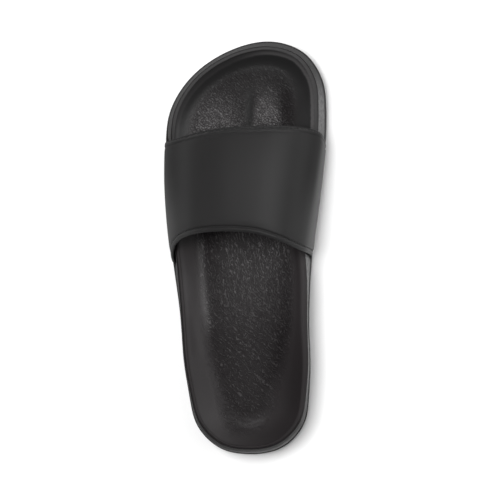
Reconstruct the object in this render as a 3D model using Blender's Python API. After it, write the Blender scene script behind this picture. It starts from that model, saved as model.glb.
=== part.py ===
"""Beach slide sandal for the left foot: a moulded sole, a contoured footbed set into its tray, and one
padded strap over the forefoot. Metres, +Z up, toe towards +Y, big-toe side towards +X."""

import math
from collections import namedtuple

import bmesh
import bpy
import numpy as np

for left_over in list(bpy.data.objects):
    bpy.data.objects.remove(left_over)

# Driving sizes
GAP = 0.0003  # left between pieces that touch on the real sandal
STATIONS = 38  # cross-sections from heel to toe
OUTLINE_FLAT_ROWS = ("heel back", "toe tip")  # where the outline runs square to the length
ROUND_MIDDLE = 0.3  # how far the middle of a rounded edge lies in from its corner, as a share of the radius
SHARP_ANGLE = math.radians(40)
SLOPE_STEP = 1e-3  # share of a length over which a slope is taken
HALVINGS = 50  # steps of the search for a point of the outline

# Sole
TOE_SPRING = 0.0070  # lift of the toe tip off the floor
TOE_BREAK_Y = 0.082  # where the toe starts to lift
HEEL_LIFT = 0.0025
HEEL_BREAK_Y = -0.116
ARCH_RISE = 0.0016  # hollow under the waist
ARCH_REAR_Y, ARCH_FRONT_Y, ARCH_BLEND = -0.052, 0.008, 0.026
SOLE_EDGE = 0.0016  # round of the bottom edge
BAND_HEIGHT = 0.0090  # lower band of the side, up to its step
BAND_STEP = 0.0006
RIM_WIDTH = 0.0006  # top edge of the sole's side wall
RIM_ROUND = 0.0004
TRAY_ACROSS = 5  # faces across the tray's floor

# Tread: wavy channels across forefoot and heel
CHANNEL_WIDTH = 0.0028
CHANNEL_DEPTH = 0.0018
CHANNEL_PITCH = 0.0092
CHANNEL_WAVE = 0.0024
CHANNEL_WAVELENGTH = 0.024
CHANNEL_EDGE = 0.0085  # plain border left round the tread
CHANNEL_CUT_BELOW = 0.004
CHANNEL_STEPS_PER_WAVE = 6
TREAD_FIELDS = {"forefoot": (0.014, 0.098), "heel": (-0.116, -0.056)}

# Footbed
LIP_PROUD = 0.0006  # lip above the sole's rim
LIP_ROUND = 0.0012
LIP_CROWN = (0.50, 0.80)  # highest part of the lip, as shares of its width
BED_THICKNESS = 0.0050
BED_ACROSS = 10  # faces across the bed
WALL_SHARES = (0.0, 0.10, 0.28, 0.50, 0.76, 0.92, 1.0, 1.1)  # rings from the lip down the wall into the bed
UNDER_SHARES = (0.25, 0.6, 1.0)  # rings under the wall
TOE_BAR_RISE, TOE_BAR_FRONT, TOE_BAR_REAR = 0.0068, 0.0245, 0.0200
TOE_BAR_Y, TOE_BAR_SLANT = 0.074, 0.16
TOE_RIDGE_RISE, TOE_RIDGE_X, TOE_RIDGE_WIDTH = 0.0018, 0.0060, 0.0046
TOE_RIDGE_Y, TOE_RIDGE_LENGTH = 0.090, 0.0150
ARCH_PAD_RISE, ARCH_PAD_X, ARCH_PAD_Y = 0.0012, 0.026, -0.018
ARCH_PAD_WIDTH, ARCH_PAD_LENGTH = 0.013, 0.036

# Strap
STRAP_THICKNESS = 0.0027
STRAP_PROUD = 0.0006  # strap's outer face beyond the sole's base outline
SEAT_STEP = 0.0026  # how far the side is let in where the strap lies on it
SEAT_BLEND = 0.0015
STRAP_FOOT_Z = BAND_HEIGHT + GAP
ARCH_SIDE_POWER, ARCH_TOP_POWER = 0.74, 0.88  # fullness of the strap's shoulders
STRAP_STEPS, BODY_LINES = 36, 7  # sections across the foot, lines along the padded middle

# Sole outline and local section, from the heel up the inner (big-toe) side and down the outer side.
# rim_z is the side wall's top, flare its lean, lip the footbed's rim, wall the slope inside it, and dish
# how that slope is hollowed: 1 for a straight slope that meets the bed in a crease, more for a round one.
Landmark = namedtuple("Landmark", "name x y rim_z flare lip wall dish")
OUTLINE = [
    Landmark("heel back", 0.0043, -0.1378, 0.0345, 0.0036, 0.0018, 0.0174, 1.30),
    Landmark("heel back, inner", 0.0245, -0.1333, 0.0345, 0.0034, 0.0024, 0.0185, 1.60),
    Landmark("heel corner, inner", 0.0381, -0.1197, 0.0341, 0.0026, 0.0030, 0.0185, 1.85),
    Landmark("heel side, inner", 0.0434, -0.0885, 0.0333, 0.0012, 0.0034, 0.0180, 1.95),
    Landmark("waist, inner", 0.0427, -0.0470, 0.0326, 0.0007, 0.0040, 0.0210, 2.00),
    Landmark("behind strap, inner", 0.0438, -0.0200, 0.0316, 0.0018, 0.0040, 0.0215, 2.00),
    Landmark("instep, inner", 0.0450, -0.0040, 0.0309, 0.0042, 0.0038, 0.0195, 1.95),
    Landmark("strap, inner", 0.0512, 0.0455, 0.0278, 0.0045, 0.0040, 0.0135, 1.80),
    Landmark("ball, inner", 0.0544, 0.0885, 0.0272, 0.0050, 0.0032, 0.0115, 1.75),
    Landmark("big toe", 0.0520, 0.1120, 0.0280, 0.0046, 0.0030, 0.0115, 1.75),
    Landmark("toe corner", 0.0406, 0.1294, 0.0289, 0.0043, 0.0026, 0.0110, 1.75),
    Landmark("toe tip", 0.0150, 0.1378, 0.0294, 0.0044, 0.0018, 0.0100, 1.75),
    Landmark("toe slope", -0.0132, 0.1306, 0.0289, 0.0038, 0.0016, 0.0095, 1.75),
    Landmark("little toe", -0.0384, 0.1124, 0.0275, 0.0040, 0.0018, 0.0095, 1.70),
    Landmark("ball front, outer", -0.0508, 0.0923, 0.0262, 0.0042, 0.0022, 0.0105, 1.50),
    Landmark("ball, outer", -0.0538, 0.0600, 0.0256, 0.0044, 0.0022, 0.0125, 1.30),
    Landmark("strap, outer", -0.0515, 0.0100, 0.0270, 0.0043, 0.0018, 0.0142, 1.10),
    Landmark("behind strap, outer", -0.0477, -0.0180, 0.0284, 0.0034, 0.0018, 0.0135, 1.05),
    Landmark("waist, outer", -0.0446, -0.0400, 0.0296, 0.0022, 0.0018, 0.0138, 1.05),
    Landmark("heel side, outer", -0.0399, -0.0886, 0.0323, 0.0024, 0.0018, 0.0168, 1.05),
    Landmark("heel corner, outer", -0.0303, -0.1220, 0.0337, 0.0034, 0.0018, 0.0205, 1.10),
    Landmark("heel back, outer", -0.0155, -0.1345, 0.0343, 0.0035, 0.0018, 0.0200, 1.12),
]

# Height of the bed's middle along the foot
BedRow = namedtuple("BedRow", "name y z")
BED = [
    BedRow("heel end", -0.1300, 0.0250),
    BedRow("heel seat", -0.0950, 0.0228),
    BedRow("waist", -0.0400, 0.0225),
    BedRow("instep", 0.0050, 0.0200),
    BedRow("ball", 0.0480, 0.0168),
    BedRow("toes", 0.1000, 0.0160),
    BedRow("toe end", 0.1300, 0.0188),
]

# Strap: its two long edges seen from above, by share of the way across from outer to inner foot
StrapEdge = namedtuple("StrapEdge", "name share front_y rear_y")
STRAP_EDGES = [
    StrapEdge("outer foot", 0.00, 0.0702, -0.0108),
    StrapEdge("outer shoulder", 0.20, 0.0718, 0.0038),
    StrapEdge("outer crown", 0.38, 0.0768, 0.0098),
    StrapEdge("crown", 0.50, 0.0796, 0.0102),
    StrapEdge("inner crown", 0.62, 0.0800, 0.0052),
    StrapEdge("inner shoulder", 0.80, 0.0778, -0.0022),
    StrapEdge("inner side", 0.90, 0.0752, -0.0042),
    StrapEdge("inner foot", 1.00, 0.0690, -0.0060),
]

# Strap: height and place of its crown from the rear edge to the front edge
StrapCrown = namedtuple("StrapCrown", "name share crown_x crown_z")
STRAP_CROWNS = [
    StrapCrown("rear edge", 0.00, 0.0000, 0.0740),
    StrapCrown("rear third", 0.35, 0.0004, 0.0695),
    StrapCrown("front third", 0.70, 0.0008, 0.0628),
    StrapCrown("front edge", 1.00, 0.0010, 0.0545),
]

# Strap: flat stitched border with a rounded edge, by distance in from either long edge
HemRow = namedtuple("HemRow", "name distance outer_drop inner_lift")
HEM = [
    HemRow("edge", 0.0000, 0.0013, 0.0006),
    HemRow("round", 0.0008, 0.0006, 0.0000),
    HemRow("stitch line", 0.0033, 0.0006, 0.0000),
    HemRow("padding", 0.0043, 0.0000, 0.0000),
]


def smooth_curve(knots, rows, period=None, flat=()):
    """Cubic curve through rows of values at the knots. A period closes it, and flat names (row, column)
    pairs where a column's slope is zero."""
    knots, rows = np.asarray(knots, float), np.asarray(rows, float)
    count = len(knots)
    if period:
        knots = np.concatenate([[knots[-1] - period], knots, [knots[0] + period, knots[1] + period]])
        rows = np.concatenate([rows[-1:], rows, rows[:2]])
    steps = np.diff(rows, axis=0) / np.diff(knots)[:, None]
    spans = np.diff(knots)
    inner = (steps[:-1] * spans[1:, None] + steps[1:] * spans[:-1, None]) / (spans[:-1] + spans[1:])[:, None]
    slopes = np.concatenate([steps[:1], inner, steps[-1:]])
    first = 1 if period else 0
    for row, column in flat:
        slopes[row + first, column] = 0.0
        if period and row == 0:
            slopes[count + first, column] = 0.0

    def at(place):
        if period:
            place = place % period
        i = int(np.clip(np.searchsorted(knots, place, side="right") - 1, 0, len(knots) - 2))
        span = knots[i + 1] - knots[i]
        s = min(max((place - knots[i]) / span, 0.0), 1.0)
        rise = 3 * s**2 - 2 * s**3
        leave, arrive = s * (1 - s) ** 2 * span, -(s**2) * (1 - s) * span
        return rows[i] * (1 - rise) + rows[i + 1] * rise + slopes[i] * leave + slopes[i + 1] * arrive

    return at


def blend(low, high, value):
    """0 below low, 1 above high, with a smooth rise between."""
    s = min(max((value - low) / (high - low), 0.0), 1.0)
    return s * s * (3 - 2 * s)


def bell(offset, width):
    return math.exp(-((offset / width) ** 2))


# Outline of the sole as a closed curve, sampled in pairs at equal y on its two sides


def outline_curve():
    points = np.array([(row.x, row.y) for row in OUTLINE])
    chords = np.linalg.norm(np.roll(points, -1, axis=0) - points, axis=1)
    knots = np.concatenate([[0.0], np.cumsum(chords)])
    names = [row.name for row in OUTLINE]
    flat = [(names.index(name), 1) for name in OUTLINE_FLAT_ROWS]
    curve = smooth_curve(knots[:-1], [row[1:] for row in OUTLINE], period=knots[-1], flat=flat)
    return curve, knots[names.index("toe tip")], knots[-1]


CURVE, TOE_PLACE, OUTLINE_LENGTH = outline_curve()
HEEL_Y, TOE_Y = CURVE(0.0)[1], CURVE(TOE_PLACE)[1]


def place_at(y, inner_side):
    """Distance round the outline where it passes y on the inner (big-toe) or the outer side."""
    low, high = (0.0, TOE_PLACE) if inner_side else (OUTLINE_LENGTH, TOE_PLACE)
    for _ in range(HALVINGS):
        middle = (low + high) / 2
        if CURVE(middle)[1] < y:
            low = middle
        else:
            high = middle
    return (low + high) / 2


def outline_x(y, inner_side):
    return CURVE(place_at(y, inner_side))[0]


def seat_share(y, inner_side):
    """1 where the strap lies on the sole's side, 0 elsewhere."""
    edge = STRAP_EDGES[-1] if inner_side else STRAP_EDGES[0]
    rear, front = edge.rear_y - GAP, edge.front_y + GAP
    return blend(rear - SEAT_BLEND, rear, y) * (1 - blend(front, front + SEAT_BLEND, y))


class Loop:
    """The outline's sample points, with their outward normals and local section sizes."""

    def __init__(self):
        places = self.station_places()
        values = np.array([CURVE(place) for place in places])
        step = OUTLINE_LENGTH * SLOPE_STEP
        ahead = np.array([CURVE(place + step)[:2] - CURVE(place - step)[:2] for place in places])
        ahead /= np.linalg.norm(ahead, axis=1)[:, None]
        self.points = values[:, :2]
        self.normals = np.stack([ahead[:, 1], -ahead[:, 0]], axis=1)
        self.rim_z, self.flare, self.lip, self.wall, self.dish = values[:, 2:].T
        self.count = len(values)
        half = self.count // 2
        self.seat = np.array([seat_share(p[1], i < half) for i, p in enumerate(self.points)])

    @staticmethod
    def station_places():
        """Heel tip, the inner side up to the toe tip, and the outer side back down."""
        turns = np.linspace(0.0, math.pi, STATIONS + 1)[1:-1]
        ys = [(HEEL_Y + TOE_Y) / 2 - (TOE_Y - HEEL_Y) / 2 * math.cos(turn) for turn in turns]
        for edge in (STRAP_EDGES[0], STRAP_EDGES[-1]):
            for end, out in ((edge.rear_y, -1), (edge.front_y, 1)):
                near = end + out * GAP
                ys = [y for y in ys if abs(y - near - out * SEAT_BLEND / 2) > 2 * SEAT_BLEND]
                ys += [near, near + out * SEAT_BLEND]
        ys.sort()
        inner = [place_at(y, True) for y in ys]
        outer = [place_at(y, False) for y in reversed(ys)]
        return [0.0] + inner + [TOE_PLACE] + outer

    def ring(self, inset, z):
        """Points moved in from the outline by inset, at height z; both may vary round the loop."""
        inset = np.broadcast_to(inset, self.count)
        flat = self.points - self.normals * inset[:, None]
        return np.column_stack([flat, np.broadcast_to(z, self.count)])


LOOP = Loop()
RIM_INNER = LOOP.flare + RIM_WIDTH  # inset of the tray's wall
BED_EDGE = RIM_INNER + GAP  # inset of the footbed's outer edge
LIP_TOP = LOOP.rim_z + LIP_PROUD


# Heights over the plan


def ground_lift(y):
    """Toe spring and heel lift, which the side band follows too."""
    toe = max(y - TOE_BREAK_Y, 0.0) / (TOE_Y - TOE_BREAK_Y)
    heel = max(HEEL_BREAK_Y - y, 0.0) / (HEEL_BREAK_Y - HEEL_Y)
    return TOE_SPRING * toe**2 + HEEL_LIFT * heel**2


def bottom_z(x, y):
    rise = blend(ARCH_REAR_Y, ARCH_REAR_Y + ARCH_BLEND, y)
    fall = blend(ARCH_FRONT_Y - ARCH_BLEND, ARCH_FRONT_Y, y)
    return ground_lift(y) + ARCH_RISE * rise * (1 - fall)


BED_HEIGHT = smooth_curve([row.y for row in BED], [[row.z] for row in BED])


def plain_bed_z(x, y):
    """The bed's height with no pads or bars on it, which its underside follows."""
    return BED_HEIGHT(y)[0]


def bed_z(x, y):
    """Top of the footbed between its side walls: heel seat, arch pad, toe bar and ridge between toes."""
    z = plain_bed_z(x, y)
    from_bar = y - (TOE_BAR_Y + TOE_BAR_SLANT * x)
    z += TOE_BAR_RISE * bell(from_bar, TOE_BAR_FRONT if from_bar > 0 else TOE_BAR_REAR)
    z += TOE_RIDGE_RISE * bell(x - TOE_RIDGE_X, TOE_RIDGE_WIDTH) * bell(y - TOE_RIDGE_Y, TOE_RIDGE_LENGTH)
    return z + ARCH_PAD_RISE * bell(x - ARCH_PAD_X, ARCH_PAD_WIDTH) * bell(y - ARCH_PAD_Y, ARCH_PAD_LENGTH)


def bed_under_z(x, y):
    return plain_bed_z(x, y) - BED_THICKNESS


def tray_z(x, y):
    return bed_under_z(x, y) - GAP


# Mesh building


def plain_material(name, colour, roughness):
    material = bpy.data.materials.new(name)
    material.use_nodes = True
    shader = material.node_tree.nodes["Principled BSDF"]
    shader.inputs["Base Color"].default_value = (*colour, 1.0)
    shader.inputs["Roughness"].default_value = roughness
    shader.inputs["Metallic"].default_value = 0.0
    return material


def finish_object(name, bm, material):
    bmesh.ops.recalc_face_normals(bm, faces=bm.faces)
    mesh = bpy.data.meshes.new(name)
    bm.to_mesh(mesh)
    bm.free()
    mesh.shade_smooth()
    mesh.set_sharp_from_angle(angle=SHARP_ANGLE)
    obj = bpy.data.objects.new(name, mesh)
    bpy.context.scene.collection.objects.link(obj)
    if material:
        mesh.materials.append(material)
    return obj


def bridge(bm, first, second):
    """Quads between two closed loops of equal length."""
    for i in range(len(first)):
        j = (i + 1) % len(first)
        bm.faces.new((first[i], first[j], second[j], second[i]))


def fill_across(bm, ring, height, across):
    """Closes a ring with rows of points from its inner to its outer side, at height(x, y)."""
    half = len(ring) // 2
    rows = []
    for j in range(1, half):
        start, end = ring[j], ring[-j]
        row = [start]
        for k in range(1, across):
            spot = start.co.lerp(end.co, k / across)
            row.append(bm.verts.new((spot.x, spot.y, height(spot.x, spot.y))))
        rows.append(row + [end])
    for low, high in zip(rows, rows[1:]):
        for k in range(across):
            bm.faces.new((low[k], low[k + 1], high[k + 1], high[k]))
    for tip, row in ((ring[0], rows[0]), (ring[half], rows[-1])):
        for k in range(across):
            bm.faces.new((tip, row[k], row[k + 1]))


def ringed_solid(name, rings, first_height, last_height, across, material):
    """A closed solid from a stack of rings, its two ends filled at the given heights."""
    bm = bmesh.new()
    loops = [[bm.verts.new(point) for point in ring] for ring in rings]
    for first, second in zip(loops, loops[1:]):
        bridge(bm, first, second)
    fill_across(bm, loops[0], first_height, across)
    fill_across(bm, loops[-1], last_height, across)
    return finish_object(name, bm, material)


# Footbed walls, shared by the footbed's top, its underside and the sole's tray


def wall_ring(share, height, drop):
    """Ring on the inner wall: share 0 at the lip's inner edge, 1 where the wall meets the bed, more in it."""
    ring = LOOP.ring(BED_EDGE + LOOP.lip + LOOP.wall * share, 0.0)
    bed = np.array([height(x, y) for x, y, _ in ring])
    climb = max(1 - share, 0.0) ** LOOP.dish
    ring[:, 2] = bed + (LIP_TOP - LIP_ROUND / 2 - bed) * climb - drop
    return ring


def make_footbed():
    material = plain_material("black grained foam", (0.020, 0.020, 0.021), 0.55)
    under = [wall_ring(share, plain_bed_z, BED_THICKNESS) for share in reversed(UNDER_SHARES)]
    outer_foot = LOOP.ring(BED_EDGE, LIP_TOP - LIP_ROUND - BED_THICKNESS)
    lip = [
        LOOP.ring(BED_EDGE, LIP_TOP - LIP_ROUND),
        LOOP.ring(BED_EDGE + LIP_ROUND * ROUND_MIDDLE, LIP_TOP - LIP_ROUND * ROUND_MIDDLE),
    ]
    lip += [LOOP.ring(BED_EDGE + LOOP.lip * share, LIP_TOP) for share in LIP_CROWN]
    wall = [wall_ring(share, bed_z, 0.0) for share in WALL_SHARES]
    rings = under + [outer_foot] + lip + wall
    return ringed_solid("footbed", rings, bed_under_z, bed_z, BED_ACROSS, material)


def make_tread_cutter():
    """Wavy bars, one for each channel of the tread."""
    bm = bmesh.new()
    for rear, front in TREAD_FIELDS.values():
        for n in range(round((front - rear) / CHANNEL_PITCH) + 1):
            add_channel(bm, rear + n * CHANNEL_PITCH)
    cutter = finish_object("tread_cutter", bm, None)
    cutter.hide_render = True
    cutter.display_type = "WIRE"
    return cutter


def add_channel(bm, y):
    left = outline_x(y, False) + CHANNEL_EDGE
    right = outline_x(y, True) - CHANNEL_EDGE
    top = bottom_z(0.0, y) + CHANNEL_DEPTH
    below = bottom_z(0.0, y) - CHANNEL_CUT_BELOW
    sections = []
    pieces = round((right - left) / CHANNEL_WAVELENGTH * CHANNEL_STEPS_PER_WAVE)
    for k in range(pieces + 1):
        x = left + (right - left) * k / pieces
        middle = y + CHANNEL_WAVE * math.sin(2 * math.pi * x / CHANNEL_WAVELENGTH)
        low, high = middle - CHANNEL_WIDTH / 2, middle + CHANNEL_WIDTH / 2
        corners = ((low, below), (high, below), (high, top), (low, top))
        sections.append([bm.verts.new((x, cy, cz)) for cy, cz in corners])
    for first, second in zip(sections, sections[1:]):
        bridge(bm, first, second)
    bm.faces.new(sections[0])
    bm.faces.new(sections[-1])


def make_sole():
    material = plain_material("black moulded sole", (0.026, 0.026, 0.027), 0.62)
    ground = np.array([ground_lift(y) for _, y in LOOP.points])
    bottom = np.array([bottom_z(x, y) for x, y in LOOP.points])
    band_top = ground + BAND_HEIGHT
    step = BAND_STEP + (SEAT_STEP - BAND_STEP) * LOOP.seat
    rings = [
        LOOP.ring(SOLE_EDGE, bottom),
        LOOP.ring(SOLE_EDGE * ROUND_MIDDLE, bottom + SOLE_EDGE * ROUND_MIDDLE),
        LOOP.ring(0.0, bottom + SOLE_EDGE),
        LOOP.ring(0.0, band_top - BAND_STEP),
        LOOP.ring(BAND_STEP / 2, band_top),
        LOOP.ring(step, band_top),
        LOOP.ring(LOOP.flare, LOOP.rim_z - RIM_ROUND),
        LOOP.ring(LOOP.flare + RIM_ROUND / 2, LOOP.rim_z),
        LOOP.ring(RIM_INNER - RIM_ROUND / 2, LOOP.rim_z),
        LOOP.ring(RIM_INNER, LOOP.rim_z - RIM_ROUND),
        LOOP.ring(RIM_INNER, LIP_TOP - LIP_ROUND - BED_THICKNESS - GAP),
    ]
    rings += [wall_ring(share, plain_bed_z, BED_THICKNESS + GAP) for share in UNDER_SHARES]
    sole = ringed_solid("sole", rings, bottom_z, tray_z, TRAY_ACROSS, material)
    tread = sole.modifiers.new("tread", "BOOLEAN")
    tread.operation = "DIFFERENCE"
    tread.solver = "EXACT"
    tread.object = make_tread_cutter()
    return sole


# Strap: an arch over the forefoot, its two feet on the band's step outside the sole's wall

EDGE_LINES = smooth_curve([row.share for row in STRAP_EDGES], [row[2:] for row in STRAP_EDGES])
CROWN_LINE = smooth_curve([row.share for row in STRAP_CROWNS], [row[2:] for row in STRAP_CROWNS])


def strap_point(across, along):
    """Outer face of the strap: across 0 at the outer foot to 1 at the inner, along 0 rear to 1 front."""
    front_y, rear_y = EDGE_LINES(across)
    y = rear_y + (front_y - rear_y) * along
    crown_x, crown_z = CROWN_LINE(along)
    inner_side = across > 0.5
    foot_x = outline_x(y, inner_side) + (STRAP_PROUD if inner_side else -STRAP_PROUD)
    turn = math.pi * across
    spread = abs(math.cos(turn)) ** ARCH_SIDE_POWER
    rise = max(math.sin(turn), 0.0) ** ARCH_TOP_POWER
    x = crown_x + (foot_x - crown_x) * spread
    return np.array([x, y, STRAP_FOOT_Z + (crown_z - STRAP_FOOT_Z) * rise])


def strap_normal(across, along):
    """Outward normal of the strap's outer face. At the feet it lies level, so the feet stand square."""
    low, high = max(across - SLOPE_STEP, 0.0), min(across + SLOPE_STEP, 1.0)
    rear, front = max(along - SLOPE_STEP, 0.0), min(along + SLOPE_STEP, 1.0)
    side = strap_point(high, along) - strap_point(low, along)
    forward = strap_point(across, front) - strap_point(across, rear)
    normal = np.cross(side, forward)
    if across in (0.0, 1.0):
        normal[2] = 0.0
    return normal / np.linalg.norm(normal)


def strap_lines(across):
    """Places along the strap, with how far the outer face drops and the inner face lifts there."""
    length = np.linalg.norm(strap_point(across, 1.0) - strap_point(across, 0.0))
    rear = [(row.distance / length, row.outer_drop, row.inner_lift) for row in HEM]
    padding = np.linspace(rear[-1][0], 1 - rear[-1][0], BODY_LINES)[1:-1]
    front = [(1 - place, drop, lift) for place, drop, lift in reversed(rear)]
    return rear + [(place, 0.0, 0.0) for place in padding] + front


def make_strap():
    material = plain_material("black smooth strap", (0.022, 0.022, 0.023), 0.42)
    bm = bmesh.new()
    sections = []
    for k in range(STRAP_STEPS + 1):
        across = k / STRAP_STEPS
        outer, inner = [], []
        for along, drop, lift in strap_lines(across):
            point, normal = strap_point(across, along), strap_normal(across, along)
            outer.append(bm.verts.new(point - normal * drop))
            inner.append(bm.verts.new(point - normal * (STRAP_THICKNESS - lift)))
        sections.append((outer, inner))
    for (outer, inner), (next_outer, next_inner) in zip(sections, sections[1:]):
        bridge(bm, outer + inner[::-1], next_outer + next_inner[::-1])
    for outer, inner in (sections[0], sections[-1]):
        for k in range(len(outer) - 1):
            bm.faces.new((outer[k], outer[k + 1], inner[k + 1], inner[k]))
    return finish_object("strap", bm, material)


make_sole()
make_footbed()
make_strap()
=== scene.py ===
import math

import bpy
import numpy as np
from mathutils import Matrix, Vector
from mathutils.bvhtree import BVHTree
from mathutils.kdtree import KDTree


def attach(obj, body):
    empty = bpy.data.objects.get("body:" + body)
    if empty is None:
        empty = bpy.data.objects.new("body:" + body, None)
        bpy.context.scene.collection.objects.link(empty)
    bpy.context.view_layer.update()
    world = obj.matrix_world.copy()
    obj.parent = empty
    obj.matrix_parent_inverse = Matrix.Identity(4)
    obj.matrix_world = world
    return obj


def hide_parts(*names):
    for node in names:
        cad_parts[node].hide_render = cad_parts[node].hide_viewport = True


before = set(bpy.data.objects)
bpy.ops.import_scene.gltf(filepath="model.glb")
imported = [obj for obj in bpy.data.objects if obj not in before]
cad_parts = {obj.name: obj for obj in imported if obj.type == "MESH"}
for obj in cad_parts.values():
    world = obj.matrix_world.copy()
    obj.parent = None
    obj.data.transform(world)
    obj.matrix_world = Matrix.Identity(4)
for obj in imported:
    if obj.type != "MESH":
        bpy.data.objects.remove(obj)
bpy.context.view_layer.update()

# Sole
# One piece of moulded foam rubber: a lower band with a small step, a flared side wall with a fine
# pebbled skin, and a rim round the tray that takes the footbed. Wavy channels make its tread.
SOLE_BLACK = (0.0138, 0.0126, 0.0130)
# a lighter colour for the rubbed skin, which paints a sheen on it
SOLE_RUBBED_PAINTED_SHEEN = (0.0250, 0.0236, 0.0241)
SOLE_ROUGHNESS = {"plain": 0.80, "rubbed": 0.36}
SOLE_SPECULAR = 0.4
PEBBLES_PER_METRE = 1150.0
PEBBLE_DEPTH = 0.0004
MOTTLE_PER_METRE = 2600.0
MOTTLE_HEIGHT = 0.5  # of a pebble's height
RUB_SHEEN_PATCHES_PER_METRE = 420.0
RUB_SHEEN_PATCHES = (0.70, 1.10)  # least and most rubbing and painted sheen, from patch to patch
TREAD_EDGE_ANGLE = math.radians(70)
SQUARE_ON = 0.9  # a normal's share from which a face lies square to a direction
MIDDLE_REACH = 0.09  # the foot's middle line ends this far from its centre
RIM_LEAST_Z = 0.0240
TRAY_LEAST_Z = 0.0165
TRAY_FADE = 0.001
JOINT_CLOSE = 0.00026  # the tray's wall lies close on the footbed's side
JOINT_FILL = 0.00080  # cement brings the rim up to the lip
JOINT_DEPTH = 0.0018
JOINT_TOP = 0.0003  # the joint is full this far below the rim
JOINT_SHARES = {"outer toe": 0.55, "inner side": 0.8, "elsewhere": 0.15}
HEEL_SWELL = 0.0013  # the side wall stands out further round the heel
RUBBED_SHEEN_SHARES = {"side at the heel": 0.35, "heel": 0.45, "toe": 0.08}

# where a change starts and where it is complete: _X across the foot, _Y along it
JOINT_TOE_X = (-0.045, -0.01)
JOINT_TOE_Y = (0.06, 0.09)
JOINT_INNER_X = (0.0, 0.03)
JOINT_INNER_Y = (-0.125, -0.09)
SWELL_Y = (-0.100, -0.130)
SWELL_BELOW_RIM = (0.0004, 0.0030)
SIDE_RUB_SHEEN_X = (-0.01, 0.045)
SIDE_RUB_SHEEN_Y = (0.125, 0.092)
SIDE_RUB_SHEEN_HEEL_Y = (-0.12, -0.07)
HEEL_RUB_SHEEN_X = (-0.030, 0.012)
HEEL_RUB_SHEEN_Y = (-0.110, -0.128)
TOE_RUB_SHEEN_Y = (0.05, 0.10)

# the same for a normal's share along a direction
TRAY_WALL_INWARD = (0.6, 0.9)
JOINT_INWARD = (-0.3, 0.4)
SIDE_WALL_OUTWARD = (0.1, 0.5)


def piece_from_solid(node, name):
    """A copy of a solid as a piece of its own, merged into one skin of quads and left in edit mode."""
    piece = bpy.data.objects.new(name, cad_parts[node].data.copy())
    piece.data.materials.clear()
    bpy.context.scene.collection.objects.link(piece)
    bpy.ops.object.select_all(action="DESELECT")
    bpy.context.view_layer.objects.active = piece
    piece.select_set(True)
    bpy.ops.mesh.customdata_custom_splitnormals_clear()
    bpy.ops.object.mode_set(mode="EDIT")
    bpy.ops.mesh.select_all(action="SELECT")
    bpy.ops.mesh.remove_doubles(threshold=1e-5)
    bpy.ops.mesh.tris_convert_to_quads(
        face_threshold=math.radians(75), shape_threshold=math.pi, topology_influence=1.2
    )
    bpy.ops.mesh.select_all(action="DESELECT")
    return piece


def round_off(piece, levels):
    """Leaves edit mode and rounds the skin with a subdivision surface."""
    bpy.ops.object.mode_set(mode="OBJECT")
    bpy.ops.object.modifier_add(type="SUBSURF")
    rounding = piece.modifiers[-1]
    rounding.levels = rounding.render_levels = levels
    bpy.ops.object.modifier_apply(modifier=rounding.name)
    bpy.ops.object.shade_smooth()


def points_of(piece):
    values = np.empty(len(piece.data.vertices) * 3)
    piece.data.vertices.foreach_get("co", values)
    return values.reshape(-1, 3)


def normals_of(piece):
    values = np.empty(len(piece.data.vertices) * 3)
    piece.data.vertex_normals.foreach_get("vector", values)
    return values.reshape(-1, 3)


def move_points(piece, points):
    piece.data.vertices.foreach_set("co", points.ravel())
    piece.data.update()


def rise(low, high, value):
    """0 at low, 1 at high, with a smooth rise between."""
    share = np.clip((value - low) / (high - low), 0.0, 1.0)
    return share * share * (3 - 2 * share)


def outward_share(spots, facing):
    """How far each normal points sideways out of the foot: 1 straight out, -1 straight in."""
    middle_y = np.clip(spots[:, 1], -MIDDLE_REACH, MIDDLE_REACH)
    from_middle = spots[:, :2] - np.column_stack([np.zeros(len(spots)), middle_y])
    return (facing[:, :2] * from_middle).sum(axis=1) / np.linalg.norm(from_middle, axis=1)


def joint_share(spots):
    """How full of cement the joint round the footbed is: all at the toe, little along the outer side."""
    across, along = spots[:, 0], spots[:, 1]
    outer_toe = JOINT_SHARES["outer toe"]
    toe = rise(*JOINT_TOE_Y, along) * (outer_toe + (1 - outer_toe) * rise(*JOINT_TOE_X, across))
    inner = JOINT_SHARES["inner side"] * rise(*JOINT_INNER_X, across) * rise(*JOINT_INNER_Y, along)
    return np.maximum(np.maximum(toe, inner), JOINT_SHARES["elsewhere"])


def nearest(line, points):
    """Distance and number of the nearest point of a line, for each point."""
    tree = KDTree(len(line))
    for index, spot in enumerate(line):
        tree.insert(spot, index)
    tree.balance()
    found = [tree.find(spot) for spot in points]
    return np.array([hit[2] for hit in found]), np.array([hit[1] for hit in found])


def mark(piece, name, share):
    """Stores a share for each point of a piece, for its finish to read."""
    column = piece.data.attributes.new(name, "FLOAT", "POINT")
    column.data.foreach_set("value", share.astype(np.float32))


def new_finish(name, colour, roughness, specular=0.5):
    """A material, a function that adds a linked node to it, and one that feeds its Principled shader."""
    material = bpy.data.materials.new(name)
    material.use_nodes = True
    tree = material.node_tree
    shader = tree.nodes["Principled BSDF"]
    shader.inputs["Base Color"].default_value = (*colour, 1.0)
    shader.inputs["Roughness"].default_value = roughness
    shader.inputs["Specular IOR Level"].default_value = specular

    def add(kind, settings=None, **inputs):
        """Inputs go by name, or by number after an underscore."""
        node = tree.nodes.new(kind)
        for key, value in (settings or {}).items():
            setattr(node, key, value)
        for key, value in inputs.items():
            socket = node.inputs[int(key[1:])] if key[0] == "_" else node.inputs[key.replace("_", " ")]
            if isinstance(value, bpy.types.NodeSocket):
                tree.links.new(value, socket)
            else:
                socket.default_value = value
        return node

    def feed(socket_name, source):
        tree.links.new(source, shader.inputs[socket_name])

    return material, add, feed


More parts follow.
